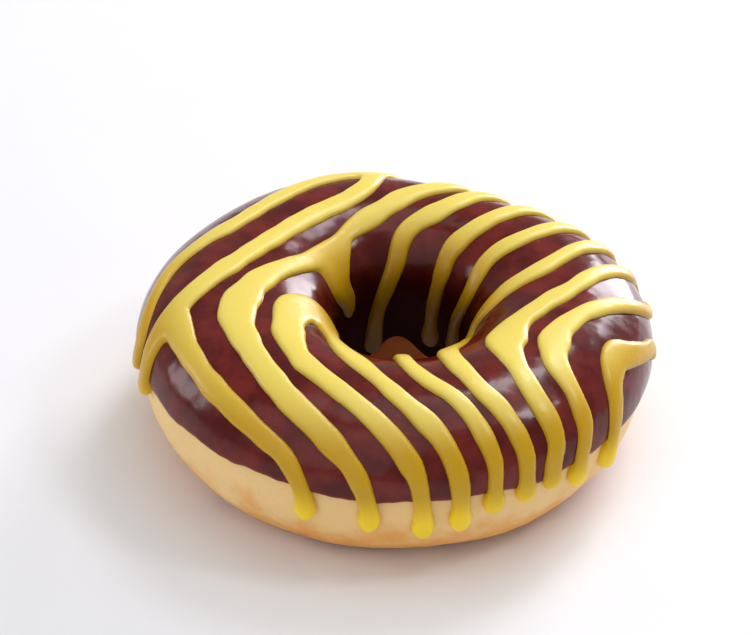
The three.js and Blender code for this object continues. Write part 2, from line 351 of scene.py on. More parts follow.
class Recipe:
    """A node tree under construction, for one material.

    Its graininess is how much the finer repeats of a mottle count.
    """

    graininess: float = 0.55

    def __init__(self, name: str) -> None:
        """Starts an empty material.

        Args:
            name: The material's name.
        """
        self.material = bpy.data.materials.new(name)
        self.material.use_nodes = True
        self.tree = self.material.node_tree
        self.tree.nodes.clear()
        place = self.node("ShaderNodeTexCoord", {}, {}, "Object")
        inputs = {"Vector": place, "Scale": (1 / MM, 1 / MM, 1 / MM)}
        self.place = self.node("ShaderNodeMapping", {}, inputs)

    def node(self, kind: str, settings: dict[str, Any], inputs: dict[Any, Any], output: Any = 0) -> Sock:
        """Adds a node.

        Args:
            kind: The node's type.
            settings: Its properties, which are set first.
            inputs: Values or links for its sockets, by name or number.
            output: The socket that is wanted of it, by name or number.

        Returns:
            That socket.
        """
        made = self.tree.nodes.new(kind)
        for key, value in settings.items():
            setattr(made, key, value)
        for key, value in inputs.items():
            if isinstance(value, Sock):
                self.tree.links.new(value.socket, made.inputs[key])
            else:
                made.inputs[key].default_value = value
        return Sock(self, made.outputs[output])

    def mottle(self, size: float, detail: float = 2.0, shift: float = 0.0) -> Sock:
        """A cloudy pattern.

        Args:
            size: The width of its patches, in millimetres.
            detail: How many times it repeats at half the size.
            shift: Moves the pattern, so that two of one size differ.

        Returns:
            The pattern, from 0 to 1.
        """
        moved = self.node(
            "ShaderNodeVectorMath", {"operation": "ADD"}, {0: self.place, 1: pattern_shift(shift)}
        )
        inputs = {"Vector": moved, "Scale": 1 / size, "Detail": detail, "Roughness": self.graininess}
        return self.node("ShaderNodeTexNoise", {}, inputs, "Fac")

    def pits(self, size: float) -> Sock:
        """The distance from the nearest of many scattered points, which are so far apart."""
        inputs = {"Vector": self.place, "Scale": 1 / size}
        return self.node("ShaderNodeTexVoronoi", {}, inputs, "Distance")

    def height(self) -> Sock:
        """The height over the floor in millimetres."""
        return self.node("ShaderNodeSeparateXYZ", {}, {"Vector": self.place}, "Z")

    def stored(self, name: str) -> Sock:
        """A number that the mesh holds at each corner."""
        return self.node("ShaderNodeAttribute", {"attribute_name": name}, {}, "Fac")

    def blend(self, share: Any, first: Any, second: Any) -> Sock:
        """A colour between two colours."""
        # Inputs 6 and 7 and output 2 are the Mix node's sockets for colours
        inputs = {0: share, 6: first, 7: second}
        return self.node("ShaderNodeMix", {"data_type": "RGBA"}, inputs, 2)

    def bumped(self, height: Sock, depth: float) -> Sock:
        """A normal from a height whose 1 stands for a depth in millimetres."""
        return self.node("ShaderNodeBump", {}, {"Height": height, "Distance": depth * MM})

    def finish(
        self, inputs: dict[str, Any], matt: Sock | None = None, matt_colour: tuple[float, ...] | None = None
    ) -> bpy.types.Material:
        """Ends the material with its shader.

        Args:
            inputs: Values or links for the Principled BSDF.
            matt: The share of a matt shader that is mixed in, if any.
            matt_colour: The matt shader's colour.

        Returns:
            The material.
        """
        settings = {"subsurface_method": "RANDOM_WALK"}
        shader = self.node("ShaderNodeBsdfPrincipled", settings, inputs)
        if matt is not None:
            dull = self.node("ShaderNodeBsdfDiffuse", {}, {"Color": matt_colour})
            shader = self.node("ShaderNodeMixShader", {}, {0: matt, 1: shader, 2: dull})
        output = self.tree.nodes.new("ShaderNodeOutputMaterial")
        self.tree.links.new(shader.socket, output.inputs["Surface"])
        return self.material


@dataclass(frozen=True)
class FriedDough:
    """Soft fried dough: pale where it floated in the fat, golden below, and brown inside the hole, partly
    its own browning and partly painted shade.

    The colour follows the height in millimetres, which the blotching and the speckling shift by
    so many millimetres. The skin has pores, a fine grain and soft lumps.
    """

    cream: Colour = (247, 208, 144)
    golden: Colour = (240, 170, 84)
    brown: Colour = (190, 98, 32)
    pale_above: float = 12.0
    golden_below: float = 3.0
    brown_below: float = -3.0
    patch_size: float = 8.0
    blotching: float = 20.0
    speck_size: float = 1.4
    speckling: float = 4.0
    pore_size: float = 0.9
    pore_reach: float = 0.55
    pore_share: float = 0.4
    grain_size: float = 0.7
    grain_share: float = 0.8
    lump_size: float = 3.0
    skin_depth: float = 0.12
    roughness: float = 0.5
    roughness_spread: float = 0.25
    refraction: float = 1.45
    translucency: float = 0.35
    light_reach: float = 3.0
    light_reach_shares: tuple[float, float, float] = (1.0, 0.55, 0.28)

    def material(self) -> bpy.types.Material:
        """Makes the dough's material.

        Returns:
            The material.
        """
        recipe = Recipe("fried_dough")
        patches = recipe.mottle(self.patch_size, detail=3.0)
        specks = recipe.mottle(self.speck_size, detail=3.0, shift=7.0)
        blotches = (patches - MEAN_MOTTLE) * self.blotching
        level = recipe.height() + blotches + (specks - MEAN_MOTTLE) * self.speckling
        golden_share = level.soft(self.brown_below, self.golden_below)
        lower = recipe.blend(golden_share, painted(self.brown), painted(self.golden))
        pale_share = level.soft(self.golden_below, self.pale_above)
        outer = recipe.blend(pale_share, lower, painted(self.cream))
        # inside the hole the dough turns brown: partly its own browning, partly painted shade
        colour = recipe.blend(recipe.stored("in_hole"), outer, painted(self.brown))
        pores = recipe.pits(self.pore_size).soft(0.0, self.pore_reach)
        grain = recipe.mottle(self.grain_size, detail=4.0, shift=3.0)
        lumps = recipe.mottle(self.lump_size, detail=2.0, shift=5.0)
        skin = pores * self.pore_share + grain * self.grain_share + lumps
        return recipe.finish({
            "Base Color": colour,
            "Roughness": self.roughness + specks * self.roughness_spread,
            "IOR": self.refraction,
            "Subsurface Weight": self.translucency,
            "Subsurface Radius": self.light_reach_shares,
            "Subsurface Scale": self.light_reach * MM,
            "Normal": recipe.bumped(skin, self.skin_depth),
        })


@dataclass(frozen=True)
class ChocolateGlaze:
    """Set chocolate coating: dark red-brown with a satin gloss, redder where it thins out.

    Inside the hole its wall gets painted shade: a darker colour, and a dark matt shader mixed in over most
    of it.
    """

    dark: Colour = (80, 14, 10)
    warm: Colour = (112, 32, 26)
    thin: Colour = (118, 26, 14)
    # painted shade for the coating's wall inside the hole
    painted_hole_shade: Colour = (40, 8, 6)
    patch_size: float = 6.0
    patch_range: tuple[float, float] = (0.35, 0.7)
    ripple_size: float = 5.0
    ripple_depth: float = 0.22
    grain_size: float = 1.2
    grain_share: float = 0.08
    roughness: float = 0.1
    roughness_spread: float = 0.14
    rough_patch_size: float = 3.0
    refraction: float = 1.5
    glint: float = 0.3
    painted_shade_matt_share: float = 0.85

    def material(self) -> bpy.types.Material:
        """Makes the coating's material.

        Returns:
            The material.
        """
        recipe = Recipe("chocolate_glaze")
        patches = recipe.mottle(self.patch_size, detail=3.0).soft(*self.patch_range)
        body = recipe.blend(patches, painted(self.dark), painted(self.warm))
        skin = recipe.blend(recipe.stored("thinness"), body, painted(self.thin))
        # painted shade: the colour turns dark inside the hole
        colour = recipe.blend(recipe.stored("in_hole"), skin, painted(self.painted_hole_shade))
        grain = recipe.mottle(self.grain_size, detail=2.0, shift=9.0)
        ripples = recipe.mottle(self.ripple_size, detail=1.0, shift=4.0) + grain * self.grain_share
        rough_patches = recipe.mottle(self.rough_patch_size, detail=2.0, shift=2.0)
        inputs = {
            "Base Color": colour,
            "Roughness": self.roughness + rough_patches * self.roughness_spread,
            "IOR": self.refraction,
            "Specular IOR Level": self.glint,
            "Normal": recipe.bumped(ripples, self.ripple_depth),
        }
        # painted shade: a dark matt shader takes over most of the gloss inside the hole
        matt = recipe.stored("in_hole") * self.painted_shade_matt_share
        return recipe.finish(inputs, matt, painted(self.painted_hole_shade))


@dataclass(frozen=True)
class FondantIcing:
    """Set fondant: soft yellow, browner where it thins out at its foot, with a low sheen.

    A leg is a line's stretch down the wall, deeper in colour as painted shade, and the drips below it are
    bright.
    Each changes over a pair of heights in millimetres.
    """

    thin: Colour = (206, 172, 66)
    # painted shade on the lines' stretches down the walls
    full: Colour = (234, 212, 98)
    leg: Colour = (200, 156, 10)
    drip: Colour = (255, 218, 24)
    # painted shade for the icing inside the hole
    painted_hole_shade: Colour = (120, 80, 8)
    leg_levels: tuple[float, float] = (24.5, 31.0)
    drip_levels: tuple[float, float] = (12.0, 19.0)
    ripple_size: float = 2.6
    ripple_depth: float = 0.1
    roughness: float = 0.24
    roughness_spread: float = 0.14
    rough_patch_size: float = 2.0
    refraction: float = 1.47
    glint: float = 0.45
    translucency: float = 0.3
    light_reach: float = 1.6
    light_reach_shares: tuple[float, float, float] = (1.0, 0.75, 0.12)

    def material(self) -> bpy.types.Material:
        """Makes the icing's material.

        Returns:
            The material.
        """
        recipe = Recipe("fondant_icing")
        body = recipe.blend(recipe.stored("fullness"), painted(self.thin), painted(self.full))
        # painted shade: the icing darkens below the top, down the walls
        upper = recipe.blend(recipe.height().soft(*self.leg_levels), painted(self.leg), body)
        skin = recipe.blend(recipe.height().soft(*self.drip_levels), painted(self.drip), upper)
        # painted shade: the colour turns dark inside the hole
        colour = recipe.blend(recipe.stored("in_hole"), skin, painted(self.painted_hole_shade))
        ripples = recipe.mottle(self.ripple_size, detail=2.0, shift=6.0)
        rough_patches = recipe.mottle(self.rough_patch_size, detail=2.0, shift=8.0)
        return recipe.finish({
            "Base Color": colour,
            "Roughness": self.roughness + rough_patches * self.roughness_spread,
            "IOR": self.refraction,
            "Specular IOR Level": self.glint,
            "Subsurface Weight": self.translucency,
            "Subsurface Radius": self.light_reach_shares,
            "Subsurface Scale": self.light_reach * MM,
            "Normal": recipe.bumped(ripples, self.ripple_depth),
        })


@dataclass(frozen=True)
class PaleFloor:
    """A plain pale floor with faint clouds."""

    colour: Colour = (236, 236, 238)
    cloud: Colour = (232, 232, 234)
    cloud_size: float = 30.0
    roughness: float = 0.55

    def material(self) -> bpy.types.Material:
        """Makes the floor's material.

        Returns:
            The material.
        """
        recipe = Recipe("pale_floor")
        clouds = recipe.mottle(self.cloud_size, detail=3.0)
        tone = recipe.blend(clouds, painted(self.colour), painted(self.cloud))
        return recipe.finish({"Base Color": tone, "Roughness": self.roughness})


def plain_ring(section_steps: int, plan_steps: int) -> bmesh.types.BMesh:
    """A plain ring about the upright axis, ready to be reshaped.

    Args:
        section_steps: How many corners its section has.
        plan_steps: How many sections it has.

    Returns:
        The ring, with a section of radius 1 about SECTION_CENTRE.
    """
    ring = bmesh.new()
    upright = Matrix.Translation((SECTION_CENTRE, 0, 0)) @ Matrix.Rotation(math.pi / 2, 4, "X")
    bmesh.ops.create_circle(ring, segments=section_steps, radius=1, matrix=upright)
    bmesh.ops.spin(
        ring, geom=ring.verts[:] + ring.edges[:], axis=(0, 0, 1), cent=(0, 0, 0),
        angle=FULL_TURN, steps=plan_steps, use_merge=True,
    )
    return ring


def reshape_ring(ring: bmesh.types.BMesh, place: Callable[[float, float], Vector]) -> None:
    """Moves each corner of a plain ring.

    Args:
        ring: The ring.
        place: Gives a corner's new place from its plan angle and its turn, from 0 to a full turn.
    """
    for vert in ring.verts:
        reach = math.hypot(vert.co.x, vert.co.y) - SECTION_CENTRE
        turn = math.atan2(vert.co.z, reach) % FULL_TURN
        vert.co = place(math.atan2(vert.co.y, vert.co.x), turn)
    bmesh.ops.recalc_face_normals(ring, faces=ring.faces)


def store(shape: bmesh.types.BMesh, name: str, value: Callable[[Vector], float]) -> None:
    """Keeps a number at each corner of a mesh, for its material to read.

    Args:
        shape: The mesh.
        name: The number's name.
        value: Gives the number from a corner's place.
    """
    layer = shape.verts.layers.float.new(name)
    for vert in shape.verts:
        vert[layer] = value(vert.co)


def shown(shape: bmesh.types.BMesh, name: str) -> bpy.types.Object:
    """Puts a shape in the scene.

    Args:
        shape: The shape, which is used up.
        name: The name of its object and mesh.

    Returns:
        The object.
    """
    mesh = bpy.data.meshes.new(name)
    shape.to_mesh(mesh)
    shape.free()
    made = bpy.data.objects.new(name, mesh)
    bpy.context.scene.collection.objects.link(made)
    return made


def finished(shape: bmesh.types.BMesh, name: str, material: bpy.types.Material) -> bpy.types.Object:
    """Sets a shape in its place in metres as a smooth object.

    Args:
        shape: The shape in millimetres, which is used up.
        name: The piece's name.
        material: The piece's material.

    Returns:
        The piece, with its object at the origin.
    """
    bmesh.ops.translate(shape, vec=(*FORM.centre, 0), verts=shape.verts)
    bmesh.ops.scale(shape, vec=(MM, MM, MM), verts=shape.verts)
    piece = shown(shape, name)
    piece.data.shade_smooth()
    piece.data.materials.append(material)
    return piece


def fitted(piece: bpy.types.Object, node: str) -> bpy.types.Object:
    """Lets a piece ride on the body, in place of a CAD node.

    Args:
        piece: The piece.
        node: The CAD node that it stands for.

    Returns:
        The piece.
    """
    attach(piece, "root")
    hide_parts(node)
    return piece


@dataclass
class DoughRing:
    """The risen ring of dough, a little uneven, with a soft edge round its flat base.

    Its swell stays low enough to be under the coating. In the hole it bulges above its foot,
    between the turns in degrees where the bulge starts, is fullest and ends.
    """

    section_steps: int = 96
    plan_steps: int = 320
    swell: float = 0.45
    swell_size: float = 15.0
    pucker: float = 0.1
    pucker_size: float = 2.4
    most_lift: float = 0.2
    base_softness: float = 1.0
    foot_bulge: float = 0.9
    foot_turns: tuple[float, float, float] = (200.0, 222.0, 242.0)
    finish: FriedDough = field(default_factory=FriedDough)

    def place(self, angle: float, turn: float) -> Vector:
        """Where a corner of the dough lies.

        Args:
            angle: Its plan angle.
            turn: Its turn round the section.

        Returns:
            Its place.
        """
        skin, outward = FORM.skin_at(angle, turn, 0.0)
        lift = self.swell * relief(skin, self.swell_size) + self.pucker * relief(skin, self.pucker_size)
        start, fullest, end = self.foot_turns
        degrees = math.degrees(turn)
        bulge = smooth_step(degrees, start, fullest) * (1 - smooth_step(degrees, fullest, end))
        spot = skin + (min(lift, self.most_lift) + self.foot_bulge * bulge) * outward
        spot.z = self.settled(spot.z)
        return spot

    def settled(self, height: float) -> float:
        """The height of a corner once the base has flattened, with a soft bend into the flat."""
        return (height + math.sqrt(height * height + self.base_softness**2)) / 2 - self.sag()

    def sag(self) -> float:
        """How much the soft bend would lift the middle of the base."""
        deepest = FORM.waist_height - FORM.belly
        return (deepest + math.sqrt(deepest * deepest + self.base_softness**2)) / 2

    def build(self) -> bpy.types.Object:
        """Makes the dough as a finished piece.

        Returns:
            The piece.
        """
        ring = plain_ring(self.section_steps, self.plan_steps)
        reshape_ring(ring, self.place)
        # the in_hole share drives the dough's painted shade inside the hole
        store(ring, "in_hole", FORM.hole_shade_share)
        return fitted(finished(ring, "dough_ring", self.finish.material()), "dough")


@dataclass
class ChocolateCoating:
    """The coating: a skin over the upper half, with rounded and ragged edges.

    Its lifts are over the dough's skin, and its edges are turns in degrees. The crowding draws
    the mesh together at the edges, and the lip is the share of its width that is rounded.
    """

    section_steps: int = 176
    plan_steps: int = 360
    thickness: float = 1.1
    edge_lift: float = 0.4
    under_lift: float = 0.1
    lip_share: float = 0.016
    crowding: float = 0.85
    swell: float = 0.2
    swell_size: float = 9.0
    swell_dip: float = 0.05
    outer_edge: float = 6.0
    outer_waves: tuple[Wave, ...] = (Wave(1, -4.0, 0.5), Wave(5, 0.0, 1.2), Wave(9, 1.0, 0.8))
    hole_edge: float = 217.0
    hole_waves: tuple[Wave, ...] = (Wave(3, 0.3, 2.0), Wave(7, 2.0, 5.6))
    ragged: float = 2.2
    ragged_size: float = 7.0
    fringe: float = 1.1
    fringe_size: float = 2.2
    thin_band: float = 5.0
    finish: ChocolateGlaze = field(default_factory=ChocolateGlaze)

    def edge_at(self, angle: float, degrees: float, waves: tuple[Wave, ...], radius: float) -> float:
        """The turn of one of the coating's edges at a plan angle.

        Args:
            angle: The plan angle.
            degrees: The edge's mean turn in degrees.
            waves: The edge's waves in degrees.
            radius: Where the edge runs, which spreads its raggedness evenly.

        Returns:
            The edge's turn.
        """
        spot = Vector((radius * math.cos(angle), radius * math.sin(angle), 0))
        uneven = self.ragged * relief(spot, self.ragged_size) + self.fringe * relief(spot, self.fringe_size)
        return math.radians(degrees + sum(wave.at(angle) for wave in waves) + uneven)

    def outer_turn(self, angle: float) -> float:
        """The turn of the edge outside at a plan angle."""
        return self.edge_at(angle, self.outer_edge, self.outer_waves, FORM.outer_radius)

    def place(self, angle: float, turn: float) -> Vector:
        """Where a corner of the coating lies.

        Args:
            angle: Its plan angle.
            turn: Its turn: the first half is the face, the second the underside.

        Returns:
            Its place.
        """
        top = turn <= math.pi
        share = (turn if top else FULL_TURN - turn) / math.pi
        share -= self.crowding * math.sin(FULL_TURN * share) / FULL_TURN
        outer = self.outer_turn(angle)
        inner = self.edge_at(angle, self.hole_edge, self.hole_waves, FORM.hole_radius)
        skin_turn = outer + share * (inner - outer)
        to_lip = clamp(min(share, 1 - share) / self.lip_share)
        round_off = math.sqrt(1 - (1 - to_lip) ** 2)
        skin, outward = FORM.skin_at(angle, skin_turn, 0.0)
        lift = self.under_lift
        if top:
            lift = self.thickness + (self.swell * relief(skin, self.swell_size) - self.swell_dip)
        return skin + (self.edge_lift + (lift - self.edge_lift) * round_off) * outward

    def thinness(self, point: Vector) -> float:
        """How near a corner is to the edge outside, from 0 to 1."""
        angle, turn = FORM.turn_to(point)
        return 1 - smooth_step(math.degrees(turn - self.outer_turn(angle)), 0.0, self.thin_band)

    def build(self) -> bpy.types.Object:
        """Makes the coating as a finished piece.

        Returns:
            The piece.
        """
        ring = plain_ring(self.section_steps, self.plan_steps)
        reshape_ring(ring, self.place)
        store(ring, "thinness", self.thinness)
        # the in_hole share drives the coating's painted shade inside the hole
        store(ring, "in_hole", FORM.hole_shade_share)
        piece = finished(ring, "chocolate_coating", self.finish.material())
        return fitted(piece, "coating")


def outside(angle: float, height: float, shoulder_angle: float | None = None) -> HangingEnd:
    """An end that hangs down the outside, straight down unless its shoulder angle differs."""
    return HangingEnd(Wall.OUTSIDE, angle, height, angle if shoulder_angle is None else shoulder_angle)


def in_hole(angle: float, height: float, shoulder_angle: float | None = None) -> HangingEnd:
    """An end that hangs down into the hole, straight down unless its shoulder angle differs."""
    return HangingEnd(Wall.HOLE, angle, height, angle if shoulder_angle is None else shoulder_angle)


# From the back left to the right, in millimetres from the middle of the ring
POURED_LINES = (
    PouredLine(
        outside(88, 18),
        ((-1.5, 40.5), (-8, 37.4), (-14.7, 34), (-21.7, 27.2), (-28.5, 18.6), (-35, 11.8),
         (-39.6, 6.1), (-42, -1)),
        outside(-168, 18.5, -171.7),
        width=4.0,
    ),
    PouredLine(
        outside(94, 16),
        ((-4.6, 38.5), (-6, 32), (-9.4, 27), (-15.9, 20.6), (-22.5, 12.2), (-29, 3.6), (-35.3, -4.4),
         (-39.2, -10.4)),
        outside(-160.2, 17.4, -162),
    ),
    PouredLine(
        None,
        ((-38, -7.4), (-36.9, -12.2), (-34.3, -19.2), (-29.3, -27.7), (-24.8, -33.1),
         (-20, -37.6)),
        outside(-106.8, 13.7, -112.3),
    ),
    PouredLine(
        outside(67, 18),
        ((16, 39), (8.5, 33.7), (2.1, 29.6), (-4.6, 23.8), (-8.8, 19.6), (-12.6, 13.4), (-15.6, 9),
         (-18.1, 6.4), (-22.4, 1.1), (-25.5, -4.7), (-26.8, -12), (-23.3, -22), (-17.8, -31.3),
         (-9.8, -39.4)),
        outside(-93, 12.9, -96.9),
        width=4.7,
    ),
    PouredLine(
        None,
        ((-13.1, 13), (-11.9, 11.6)),
        in_hole(126.5, 15.4, 136),
        width=13.5,
        taper=0.25,
    ),
    PouredLine(
        outside(58, 13),
        ((22.5, 36), (14.8, 31), (7.5, 25.4), (1.6, 21.8)),
        in_hole(102.5, 6, 90.5),
        width=4.3,
    ),
    PouredLine(
        outside(-81.2, 11.4, -83.5),
        ((1, -39.6), (-3.9, -35.5), (-9.6, -30.2), (-14.2, -24.8), (-16.8, -18.6), (-17.6, -12),
         (-16.6, -6.5), (-14.2, -3.7), (-12, -5.4), (-11, -10.4), (-9.2, -16.4), (-7.4, -20.2),
         (-3.2, -26.4), (1.6, -32.5), (8.9, -38.7)),
        outside(-73, 12.5, -74.1),
        width=4.4,
    ),
    PouredLine(
        outside(48, 17),
        ((30, 32.2), (23, 27.5), (15.2, 21.6), (9.9, 18.2)),
        in_hole(66, 8, 62.5),
        width=4.0,
    ),
    PouredLine(
        outside(39, 14),
        ((35, 27.7), (29, 22), (22.3, 17), (16.4, 13.6)),
        in_hole(47, 9, 38),
        width=3.8,
    ),
    PouredLine(
        in_hole(-84, 13),
        ((3, -23), (6.2, -27.9), (11.7, -32.3), (16.2, -37.1)),
        outside(-65.6, 15.3, -65.2),
        width=3.7,
    ),
    PouredLine(
        outside(30.5, 17),
        ((38, 21.2), (32.7, 15.2), (25.5, 7.7), (17.9, 3), (14.2, 0.2), (12.3, -7.5),
         (9.7, -15), (10.6, -21), (14.8, -28.5), (19.1, -32.6), (22.1, -35.4)),
        outside(-58, 16, -57.5),
        width=4.0,
    ),
    PouredLine(
        outside(22, 15),
        ((41.5, 14.3), (36.1, 8.2), (30.6, 1.2), (25.3, -4.1), (20.8, -9.8), (19.3, -16),
         (21.3, -22.5), (25, -29.1), (27.2, -31.3)),
        outside(-51.2, 16.7, -49.2),
    ),
    PouredLine(
        outside(18, 16, 9),
        ((43, 3.8), (37.6, -1.2), (32.2, -6.3), (28.2, -12.6), (27.9, -19.8), (31.5, -25.6)),
        outside(-43.2, 14.4, -40.2),
        width=4.2,
    ),
    PouredLine(
        outside(-2, 20, -6),
        ((41.4, -9.2), (38.4, -12.8), (37.9, -17.6)),
        outside(-31.6, 13, -27.6),
        width=4.8,
    ),
)

# Where the lines bend or meet and spread, or are drawn thin
SWELLS = (
    Swell((-26.4, -9.0), 1.4, 6.5),
    Swell((-15.0, -5.0), 2.1, 5.0),
    Swell((-17.3, -14.5), 0.8, 6.0),
    Swell((-9.8, -14.0), -0.9, 4.5),
    Swell((-9.4, 18.6), -0.7, 3.5),
    Swell((-38.5, -10.5), 0.8, 4.5),
    Swell((19.4, -13.2), 1.3, 5.0),
    Swell((28.4, -15.0), 0.8, 5.0),
    Swell((38.6, -13.0), 0.8, 4.5),
    Swell((-40.0, 5.0), -0.5, 7.0),
    Swell((0.0, -30.0), -0.5, 7.0),
    Swell((-26.4, 1.0), 0.8, 3.0),
    Swell((40.0, 8.0), -0.5, 10.0),
)


def smooth_path(marks: list[Vector], step: float) -> list[Vector]:
    """A smooth curve through some points, as evenly spaced points.

    Args:
        marks: The points that the curve passes.
        step: The distance between two points of the result.

    Returns:
        The points of a centripetal Catmull-Rom curve.
    """
    fine_steps = 24
    padded = [2 * marks[0] - marks[1], *marks, 2 * marks[-1] - marks[-2]]
    fine = [marks[0]]
    for p0, p1, p2, p3 in zip(padded, padded[1:], padded[2:], padded[3:]):
        t1 = math.sqrt((p1 - p0).length)
        t2 = t1 + math.sqrt((p2 - p1).length)
        t3 = t2 + math.sqrt((p3 - p2).length)
        for i in range(1, fine_steps + 1):
            # Blends of blends give the point, with the roots of the distances as their knots
            t = t1 + (t2 - t1) * i / fine_steps
            a1 = p0.lerp(p1, t / t1)
            a2 = p1.lerp(p2, (t - t1) / (t2 - t1))
            a3 = p2.lerp(p3, (t - t2) / (t3 - t2))
            b1 = a1.lerp(a2, t / t2)
            b2 = a2.lerp(a3, (t - t1) / (t3 - t1))
            fine.append(b1.lerp(b2, (t - t1) / (t2 - t1)))
    lengths = [0.0]
    for before, after in zip(fine, fine[1:]):
        lengths.append(lengths[-1] + (after - before).length)
    count = max(2, round(lengths[-1] / step))
    spaced, i = [], 0
    for k in range(count + 1):
        goal = lengths[-1] * k / count
        while i < len(fine) - 2 and lengths[i + 1] < goal:
            i += 1
        spaced.append(fine[i].lerp(fine[i + 1], (goal - lengths[i]) / (lengths[i + 1] - lengths[i])))
    return spaced


@dataclass(frozen=True)
class Stop:
    """A place that a line of icing passes: its frame of unit directions, its half width, and how
    much of the line's full width its taper has left there."""

    frame: Matrix
    half_width: float
    narrowing: float = 1.0

    def sized(self, side: float, out: float, along: float) -> Matrix:
        """The frame with its sideways, outward and forward directions scaled."""
        return self.frame @ Matrix.Diagonal((side, out, along, 1))


def framed(side: Vector, outward: Vector, forward: Vector, origin: Vector) -> Matrix:
    """Makes a frame of three directions and an origin.

    Args:
        side: The direction of the frame's X.
        outward: The direction of its Y.
        forward: The direction of its Z.
        origin: Its origin.

    Returns:
        The matrix that has them as its columns.
    """
    frame_there = Matrix((side, outward, forward)).transposed().to_4x4()
    frame_there.translation = origin
    return frame_there


def run_together(shape: bmesh.types.BMesh, voxel: float) -> bmesh.types.BMesh:
    """Joins the overlapping parts of a shape into one skin.

    Args:
        shape: The closed parts, which are used up.
        voxel: The size of the joined skin's facets.

    Returns:
        The joined shape.
    """
    parts = shown(shape, "parts")
    mesh = parts.data
    remesh = parts.modifiers.new("together", "REMESH")
    remesh.mode = "VOXEL"
    remesh.voxel_size = voxel
    whole = bmesh.new()
    whole.from_mesh(parts.evaluated_get(bpy.context.evaluated_depsgraph_get()).to_mesh())
    bpy.data.objects.remove(parts)
    bpy.data.meshes.remove(mesh)
    return whole


